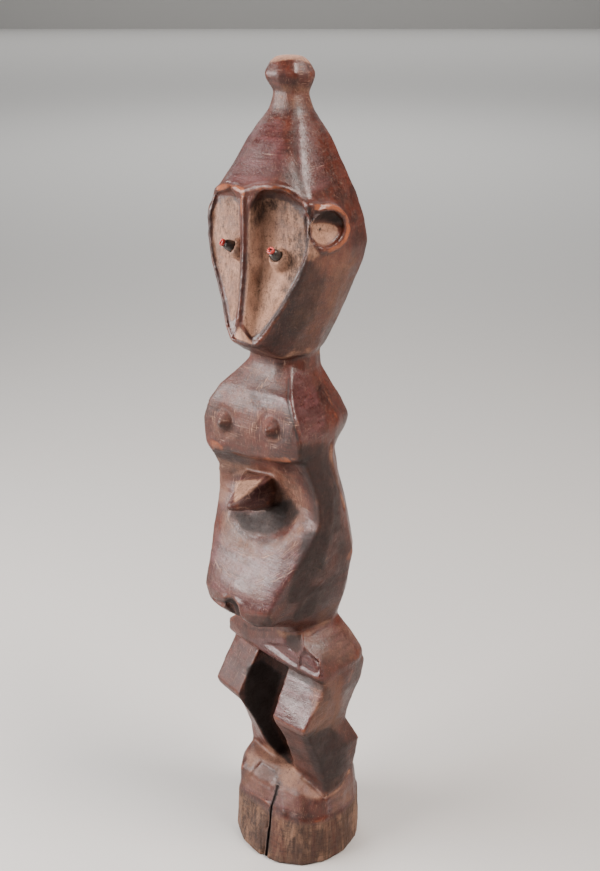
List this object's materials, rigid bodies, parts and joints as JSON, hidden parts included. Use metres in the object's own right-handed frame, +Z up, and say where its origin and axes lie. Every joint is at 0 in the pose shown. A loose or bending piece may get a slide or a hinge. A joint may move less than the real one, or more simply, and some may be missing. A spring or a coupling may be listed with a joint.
{
  "type": "carved ancestor figure",
  "caption": "Standing carved wooden ancestor figure with pointed knobbed head, hollow heart-shaped face, bead eyes, hands meeting at the belly and bent legs on a round foot.",
  "frame": {"origin": "centre of the round foot's flat underside", "axes": "+Z up along the figure, -Y the way the legs face, +X the figure's left side"},
  "size_m": [0.0724, 0.0841, 0.42],
  "materials": {
    "carved_wood": "hand-worn oiled patina, glossy on the facets, dusty and pale in the hollows, raw and weathered on the foot's side",
    "black_stud": "opaque black bead, worn",
    "red_bead": "opaque red seed bead, glossy"
  },
  "bodies": {
    "root": {"carved_figure": "carved_wood", "left_eye_stud": "black_stud", "right_eye_stud": "black_stud", "left_eye_bead": "red_bead", "right_eye_bead": "red_bead"}
  },
  "joints": []
}
